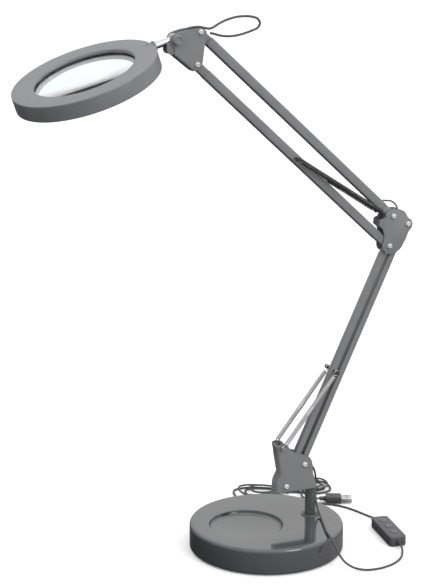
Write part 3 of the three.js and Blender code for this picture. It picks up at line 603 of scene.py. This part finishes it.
for name, p, body in (
    ("base_front_bolt", FRONT_LOW, "column"), ("base_rear_bolt", REAR_LOW, "column"),
    ("elbow_top_bolt", ELBOW_TOP, "elbow"), ("elbow_rear_bolt", REAR_TOP, "elbow"),
    ("elbow_front_bolt", FRONT_TOP, "elbow"), ("head_top_bolt", HEAD_TOP, "head_bracket"),
    ("head_low_bolt", HEAD_LOW, "head_bracket"),
):
    piece(name.replace("_bolt", "_pivot"), bolt(p), body, "white_nylon", name)


def knob():
    """A knob with a ribbed rim and a dished face, on a screw with a nut."""
    near, ribs, steps = HALF + 6.6, 18, 6
    outline_points = []
    for k in range(ribs * steps):
        a = 2 * math.pi * k / (ribs * steps)
        r = 4.8 + 0.2 * math.cos(ribs * a)
        outline_points.append((r * math.cos(a), r * math.sin(a), 0))
    place = along_y(KNUCKLE.x, KNUCKLE.z)
    rim = prism(outline_points, -near + 0.6, -HALF - 0.1, place, 0)
    face = [(0, -near + 0.9), (2.6, -near + 0.8), (3.2, -near), (4.1, -near)]
    face += [(4.6, -near + 0.7), (0, -near + 1.6)]
    face = lathe(face, 48, place)
    screw = [(0, -HALF - 1), (SCREW_R, -HALF - 1), (SCREW_R, HALF + 2.8), (1.2, HALF + 3), (0, HALF + 3)]
    screw = lathe(screw, 32, place)
    six = [(3.6 * math.cos(a), 3.6 * math.sin(a), 0) for a in [math.pi * k / 3 for k in range(6)]]
    nut = prism(rounded(six, 0.4, 2), HALF + 0.1, HALF + 2.7, place, 0.3)
    return merged(rim, face, screw, nut)


piece("knob", knob(), "head_bracket", "grey_paint", "tilt_knob")


# ---- arms ---------------------------------------------------------------------
def tube(p, direction, w, t, corner, s0, s1):
    place = on_line(p, direction)
    outer, inner = rectangle(w, t, corner), rectangle(w - 2 * WALL, t - 2 * WALL, max(corner - WALL, 0.5))
    bm = bmesh.new()
    lip = 0.18
    rows = [(inner, 0, s0 + lip), (inner, 1, s0), (outer, -lip, s0), (outer, 0, s0 + lip)]
    rows += [(outer, 0, s1 - lip), (outer, -lip, s1), (inner, 1, s1), (inner, 0, s1 - lip)]
    rings = []
    for shape, grow, s in rows:
        ring = []
        for q in shape:
            r = Vector((q[0], q[1], 0))
            r = r * (1 + (grow if grow < 0 else grow * lip) / r.length)
            ring.append(bm.verts.new(place @ Vector((r.x, r.y, s))))
        rings.append(ring)
    count = len(rings[0])
    for a, b in zip(rings, rings[1:] + rings[:1]):
        for i in range(count):
            j = (i + 1) % count
            bm.faces.new((a[i], a[j], b[j], b[i]))
    return bm


def end_plug(p, direction, w, t, tongue_w, tongue_t, open_at, fork=False):
    place = on_line(p, direction)
    inner = rectangle(w - 2 * WALL - 0.1, t - 2 * WALL - 0.1, 0.8)
    insert = prism(inner, open_at - 0.5, open_at + 9, place, 0)
    collar = prism(rectangle(w - 0.5, t - 0.5, 0.9), open_at - 1.2, open_at - 0.05, place, 0.2)
    halves = [(-tongue_t / 2, -2.9), (2.9, tongue_t / 2)] if fork else [(-tongue_t / 2, tongue_t / 2)]
    parts = [insert, collar]
    r = tongue_w / 2
    far = open_at - 1
    angles = [math.pi / 2 + math.pi * k / 16 for k in range(17)]
    back = [(far, -r, 0), (far, r, 0)] + [(r * math.cos(a), r * math.sin(a), 0) for a in angles]
    turn = Matrix(((0, 1, 0, 0), (0, 0, 1, 0), (1, 0, 0, 0), (0, 0, 0, 1)))
    for y0, y1 in halves:
        parts.append(prism(back, y0, y1, place @ turn, 0.25))
    return merged(*parts)


LOW_OPEN, UP_OPEN = 9, 15
for name, p in (("lower_front", FRONT_LOW), ("lower_rear", REAR_LOW)):
    thick = 5 if name == "lower_front" else 8
    far = p + LOW_DIR * LOWER
    bm = tube(p, LOW_DIR, LOW_W, LOW_T, 0.9, LOW_OPEN, LOWER - LOW_OPEN)
    piece(f"{name}_arm", bm, name, "grey_paint", f"{name}_tube")
    bm = end_plug(p, LOW_DIR, LOW_W, LOW_T, LOW_W - 0.2, 8, LOW_OPEN)
    piece(f"{name}_foot", bm, name, "grey_paint", f"{name}_low_plug")
    bm = end_plug(far, -LOW_DIR, LOW_W, LOW_T, LOW_W - 0.2, thick, LOW_OPEN)
    piece(f"{name}_tip", bm, name, "grey_paint", f"{name}_high_plug")
for name, p in (("upper_top", ELBOW_TOP), ("upper_bottom", FRONT_TOP)):
    far = p + UP_DIR * UPPER
    bm = tube(p, UP_DIR, UP_W, UP_T, 1.6, UP_OPEN, UPPER - UP_OPEN)
    piece(f"{name}_arm", bm, name, "grey_paint", f"{name}_tube")
    bm = end_plug(p, UP_DIR, UP_W, UP_T, 8, 11, UP_OPEN, name == "upper_bottom")
    piece(f"{name}_foot", bm, name, "grey_paint", f"{name}_low_plug")
    bm = end_plug(far, -UP_DIR, UP_W, UP_T, 8, 6 if name == "upper_top" else 11, UP_OPEN)
    piece(f"{name}_tip", bm, name, "grey_paint", f"{name}_high_plug")


def spring_pin(p):
    """A pin with a ball cap on the far side and a grooved clip on the near side."""
    y = PIN_HALF
    profile = [(0, -y - 1), (1.9, -y - 0.9), (2.3, -y - 0.5), (2.3, -y + 0.3), (2, -y + 0.5), (1.2, -y + 0.5)]
    profile += [(1.2, y - 0.8)]
    for k in range(1, 12):
        a = math.pi * k / 12
        profile.append((2.4 * math.sin(a), y + 1.4 - 2.4 * math.cos(a)))
    profile = [q for q in profile if q[0] >= 1.2 or q[1] < 0 or q[1] > y + 1.4] + [(0, y + 3.8)]
    return lathe(profile, 40, along_y(p.x, p.z))


piece("lower_pin", spring_pin(LOW_PIN), "lower_front", "black_steel", "lower_spring_pin")
piece("upper_pin", spring_pin(UP_PIN), "upper_bottom", "black_steel", "upper_spring_pin")


# ---- springs --------------------------------------------------------------------
def coil(a, b, y, s0, s1, radius, pitch):
    """A close coil between two distances along the line from a to b."""
    ahead = (b - a).normalized()
    side, up = Vector((0, 1, 0)), ahead.cross(Vector((0, 1, 0)))
    steps = 14
    count = int((s1 - s0) / pitch * steps)
    points = []
    for i in range(count + 1):
        turn = 2 * math.pi * i / steps
        s = s0 + (s1 - s0) * i / count
        around = side * math.cos(turn) + up * math.sin(turn)
        points.append(a + ahead * s + Vector((0, y, 0)) + around * radius)
    return points


def end_hook(a, b, y, s0, radius, wire):
    """The wire's end: from the coil at s0 back to the stud at a, and round it."""
    ahead = (b - a).normalized()
    side, up = Vector((0, 1, 0)), ahead.cross(Vector((0, 1, 0)))
    base = a + Vector((0, y, 0))
    points = [base + ahead * s0 + side * radius, base + ahead * (s0 - 1) + side * radius * 0.5]
    points.append(base + ahead * (s0 - 2) + up * 1.4)
    for k in range(11):
        turn = math.pi * 0.5 - k * math.pi * 1.65 / 10
        points.append(base + (ahead * math.cos(turn) + up * math.sin(turn)) * 2 + side * 0.06 * k)
    return sweep(sampled(points, 0.5), wire, 8)


def spring_halves(name, hook, pin, slot, lap, wire, pitch, low_node, high_node):
    """Each visible spring is two nested coils, one turning about each end, so that they can draw apart."""
    long = (pin - hook).length
    for side, y in (("near", -SPRING_Y), ("far", SPRING_Y)):
        low = coil(hook, pin, y, 5, long / 2 + lap, SPRING_R - wire, pitch)
        high = coil(pin, hook, y, 5, long / 2 + lap, SPRING_R - wire - 0.06, pitch)
        low = merged(sweep(low, wire, 6), end_hook(hook, pin, y, 5, SPRING_R - wire, wire))
        high = merged(sweep(high, wire, 6), end_hook(pin, hook, y, 5, SPRING_R - wire, wire))
        low_nodes, high_nodes = ([low_node], []) if side == "near" else ([], [high_node])
        piece(f"{name}_{side}_coil_low", low, f"{name}_low", slot, *low_nodes)
        piece(f"{name}_{side}_coil_high", high, f"{name}_high", slot, *high_nodes)


spring_halves("lower_spring", BASE_HOOK, LOW_PIN, "plated_steel", 5, 0.5, 1.24,
              "lower_near_spring", "lower_far_spring")
spring_halves("upper_spring", ELBOW_HOOK, UP_PIN, "black_steel", 9, 0.42, 1.3,
              "upper_near_spring", "upper_far_spring")

# ---- ring head --------------------------------------------------------------------
RU = at(math.cos(RING_TILT), math.sin(RING_TILT))
RN = at(-math.sin(RING_TILT), math.cos(RING_TILT))
ROD_END = RING_C + RU * (RING_R + 0.4) + RN * RIM_H
ROD_DIR = (KNUCKLE - ROD_END).normalized()
ROD_LONG = (KNUCKLE - ROD_END).length
ROLL = Matrix.Translation(ROD_END) @ Matrix.Rotation(RING_ROLL, 4, ROD_DIR) @ Matrix.Translation(-ROD_END)
IN_RING = ROLL @ Matrix.Translation(RING_C) @ Matrix((RU, RN.cross(RU), RN)).transposed().to_4x4()
AT_RIM = IN_RING @ Matrix.Translation((0, 0, RIM_H)) @ Matrix.Rotation(math.pi / 2, 4, "Y")
OPEN_R = LENS_R - 1.6


def head_shell():
    r = RING_R
    top = [(OPEN_R + 0.4, -2.6, 0), (OPEN_R + 0.4, -0.5, 0), (OPEN_R + 1.3, 0.45, 0), (r - 0.2, 0.5, 0)]
    top += [(r, -1.2, 0), (r, -RING_H, 0), (r - 2, -RING_H, 0), (r - 2, -3.6, 0)]
    top += [(LENS_R + 3.4, -2, 0), (LENS_R + 3.4, -9, 0), (LENS_R + 1.4, -9, 0), (LENS_R + 1.4, -2.6, 0)]
    profile = [(p.x, p.y) for p in rounded(top, 0.6, 4)]
    shell = lathe(profile, 192, IN_RING, closed=True)
    bore = lathe([(0, r - 5.45), (BUSH_R + 0.1, r - 5.45), (BUSH_R + 0.1, r + 8), (0, r + 8)], 48, AT_RIM)
    return cut(shell, bore)


piece("ring_shell", head_shell(), "ring", "head_grey", "head_shell")


def rod_socket():
    r, bore = RING_R, ROD_R + 0.12
    points = [(bore, r - 5.4, 0), (BUSH_R, r - 5.4, 0), (BUSH_R, r + 0.3, 0), (BUSH_R + 0.7, r + 0.3, 0)]
    points += [(BUSH_R + 0.7, r + 2.6, 0), (bore, r + 2.6, 0)]
    return lathe([(p.x, p.y) for p in rounded(points, 0.5, 3)], 64, AT_RIM, closed=True)


piece("rod_bush", rod_socket(), "ring", "head_grey", "rod_socket")


def rod():
    end = ROD_LONG - 4
    shaft = [(0, -6), (ROD_R - 0.3, -6), (ROD_R, -5.7), (ROD_R, end), (0, end)]
    eye = [(SCREW_R + 0.25, -ROD_R), (5.2, -ROD_R), (5.4, 0.2 - ROD_R), (5.4, ROD_R - 0.2), (5.2, ROD_R)]
    eye += [(SCREW_R + 0.25, ROD_R)]
    place = on_line(ROD_END, ROD_DIR)
    return merged(lathe(shaft, 48, place), lathe(eye, 48, along_y(KNUCKLE.x, KNUCKLE.z), True))


piece("chrome_stem", rod(), "rod", "chrome_rod", "head_rod")


def lens():
    low, high, steps = -4.8, -3.6, 20
    dome = [(LENS_R * k / steps, LENS_DOME * (1 - (k / steps) ** 2)) for k in range(steps + 1)]
    profile = [(r, low - rise) for r, rise in dome] + [(r, high + rise) for r, rise in reversed(dome)]
    return lathe(profile, 160, IN_RING)


piece("lens_disc", lens(), "ring", "lens_acrylic", "lens")
seat = [(LENS_R - 1.4, -7.2), (LENS_R + 1, -7.2), (LENS_R + 1, -5.2), (LENS_R - 1.4, -5.2)]
piece("lens_seat", lathe(seat, 160, IN_RING, True), "ring", "dark_plastic", "lens_ring")
milk = [(LENS_R + 0.4, 1.2 - RING_H, 0), (RING_R - 3.2, 1.2 - RING_H, 0), (RING_R - 3.2, 3 - RING_H, 0)]
milk += [(LENS_R + 2, 3 - RING_H, 0), (LENS_R + 2, -9.3, 0), (LENS_R + 0.4, -9.3, 0)]
milk = [(p.x, p.y) for p in rounded(milk, 0.5, 3)]
piece("light_cover", lathe(milk, 160, IN_RING, True), "ring", "diffuser_milk", "diffuser")

# ---- inline controller ------------------------------------------------------------
CONTROLLER = Matrix.Translation((130.4, -25, 0)) @ Matrix.Rotation(-0.126, 4, "Z")


def half_shell(low, high, top):
    skin = prism(rectangle(19, 60, 5, 8), low, high, CONTROLLER, 0)
    edge = [e for e in skin.edges if abs(e.verts[0].co.z - e.verts[1].co.z) < 1e-6]
    edge = [e for e in edge if abs(e.verts[0].co.z - (high if top else low)) < 1e-6]
    bmesh.ops.bevel(skin, geom=edge, offset=1.6, segments=5, profile=0.5, affect="EDGES", clamp_overlap=True)
    return skin


BUTTONS = (("power", 16), ("brighter", 0), ("dimmer", -16))
tools = [prism(rectangle(15.4, 56.4, 3.2), 5, 9.8, CONTROLLER, 0)]
for _, y in BUTTONS:
    place = CONTROLLER @ Matrix.Translation((0, y, 0))
    tools.append(lathe([(0, 9), (4.3, 9), (4.3, 14), (0, 14)], 48, place))
upper = cut(half_shell(5.2, 11.4, True), *tools)
upper = piece("controller_top", upper, "base", "dark_plastic", "controller_upper")
lower = piece("controller_bottom", half_shell(0.3, 5.05, False), "base", "dark_plastic", "controller_lower")
for name, y in BUTTONS:
    cap = [(0, 8.2, 0), (5, 8.2, 0), (5, 9.4, 0), (4, 9.4, 0), (4, 12.1, 0), (0, 12.3, 0)]
    cap = rounded(cap, 0.5, 3, False)
    cap = lathe([(p.x, p.y) for p in cap], 48, CONTROLLER @ Matrix.Translation((0, y, 0)))
    piece(f"key_{name}", cap, f"button_{name}", "button_grey", f"button_{name}")


def relief(sign):
    """A ribbed, tapered relief at one end of the controller."""
    profile = [(0, 27), (2.8, 27), (2.8, 30.5)]
    for k in range(4):
        r = 2.7 - 0.25 * k
        steps = ((r, 30.6), (r, 31.3), (r - 0.5, 31.4), (r - 0.5, 31.7))
        profile += [(q, height + 1.2 * k) for q, height in steps]
    profile += [(1.7, 35.4), (0, 35.4)]
    place = CONTROLLER @ Matrix.Translation((0, 0, 5.2)) @ Matrix.Rotation(-sign * math.pi / 2, 4, "X")
    return lathe(profile, 40, place)


reliefs = [piece("relief_front", relief(-1), "base", "cable_jacket", "controller_relief_front"),
           piece("relief_back", relief(1), "base", "cable_jacket", "controller_relief_back")]

# ---- USB plug -----------------------------------------------------------------------
USB = Matrix.Translation((111, 88.6, 4.6)) @ Matrix.Rotation(-0.4, 4, "Z")
USB = USB @ Matrix.Rotation(math.pi / 2, 4, "Y")


def usb_body():
    body = prism(rectangle(8.4, 13.2, 2, 6), 0, 17, USB, 0)
    ends = [e for e in body.edges if e.calc_face_angle(0) > 1.2]
    bmesh.ops.bevel(body, geom=ends, offset=0.7, segments=3, profile=0.6, affect="EDGES", clamp_overlap=True)
    grips = []
    for side in (-1, 1):
        for k in range(4):
            place = USB @ Matrix.Translation((side * 4.25, 0, 4 + 2.4 * k))
            grips.append(prism(rectangle(0.9, 8, 0.3), 0, 1, place, 0))
    neck = [(0, -7), (1.9, -7), (2.3, -6.6), (2.3, -5.4), (1.9, -5.3), (1.9, -4.6), (2.4, -4.5), (2.4, -3.2)]
    neck += [(2, -3.1), (2, -2.4), (2.6, -2.3), (3.2, 0.5), (0, 0.5)]
    return merged(cut(body, *grips), lathe(neck, 40, USB))


usb_grip = piece("plug_body", usb_body(), "base", "cable_jacket", "usb_overmold")
windows = []
for side in (-1, 1):
    place = USB @ Matrix.Translation((-2, side * 2.6, 22))
    windows.append(prism(rectangle(3, 2.2, 0.2), 0, 2.4, place, 0))
metal = prism(rectangle(4.5, 12, 0.6, 4), 17.1, 28.8, USB, 0.12)
metal = cut(metal, prism(rectangle(3.9, 11.4, 0.4), 18, 30, USB, 0), *windows)
usb_metal = piece("plug_shell", metal, "base", "plated_steel", "usb_shell")
usb_inner = prism(rectangle(1.5, 10.8, 0.2), 18.1, 27.1, USB @ Matrix.Translation((0.9, 0, 0)), 0.1)
usb_inner = piece("plug_tongue", usb_inner, "base", "white_nylon", "usb_tongue")


# ---- floor and light -----------------------------------------------------------------
def stage_floor():
    bm = bmesh.new()
    size = 40000
    corners = [bm.verts.new((x * size, y * size, 0)) for x, y in ((-1, -1), (1, -1), (1, 1), (-1, 1))]
    bm.faces.new(corners)
    bmesh.ops.scale(bm, vec=(MM, MM, MM), verts=bm.verts)
    floor = new_object("floor", bm)
    material = bpy.data.materials.new("floor_white")
    material.use_nodes = True
    shader = material.node_tree.nodes["Principled BSDF"]
    shader.inputs["Base Color"].default_value = (0.93, 0.93, 0.93, 1)
    shader.inputs["Roughness"].default_value = 0.8
    shader.inputs["Specular IOR Level"].default_value = 0.1
    shader.inputs["Emission Color"].default_value = (1, 1, 1, 1)
    shader.inputs["Emission Strength"].default_value = 0.1
    floor.data.materials.append(material)
    floor.visible_diffuse = False
    floor.visible_glossy = False


def area_light(name, place, aim, size, power):
    data = bpy.data.lights.new(name, "AREA")
    data.shape, data.size, data.energy = "DISK", size, power
    light = bpy.data.objects.new(name, data)
    light.location = place
    light.rotation_euler = (Vector(aim) - Vector(place)).to_track_quat("-Z", "Y").to_euler()
    bpy.context.scene.collection.objects.link(light)


def studio_sky():
    """A soft sky that is brightest above and darker below."""
    world = bpy.data.worlds.new("studio")
    world.use_nodes = True
    nodes, links = world.node_tree.nodes, world.node_tree.links
    where = nodes.new("ShaderNodeTexCoord")
    towards = nodes.new("ShaderNodeVectorMath")
    towards.operation = "DOT_PRODUCT"
    towards.inputs[1].default_value = Vector((0.12, -0.2, 0.9)).normalized()
    level = nodes.new("ShaderNodeMapRange")
    level.inputs["From Min"].default_value = -0.6
    level.inputs["From Max"].default_value = 1
    level.inputs["To Min"].default_value = 0.03
    level.inputs["To Max"].default_value = 1.6
    links.new(where.outputs["Generated"], towards.inputs[0])
    links.new(towards.outputs["Value"], level.inputs["Value"])
    sky = nodes["Background"]
    sky.inputs["Color"].default_value = (1, 1, 1, 1)
    seen = nodes.new("ShaderNodeLightPath")
    plain = nodes.new("ShaderNodeMath")
    plain.operation = "MAXIMUM"
    links.new(seen.outputs["Is Camera Ray"], plain.inputs[0])
    links.new(seen.outputs["Is Transmission Ray"], plain.inputs[1])
    strength = nodes.new("ShaderNodeMix")
    links.new(plain.outputs["Value"], strength.inputs["Factor"])
    links.new(level.outputs["Result"], strength.inputs["A"])
    strength.inputs["B"].default_value = 1
    links.new(strength.outputs["Result"], sky.inputs["Strength"])
    bpy.context.scene.world = world


stage_floor()
area_light("key", (0.9, -2.4, 1.7), (0, 0, 0.3), 1.2, 22)
studio_sky()
bpy.context.scene.view_settings.view_transform = "Standard"
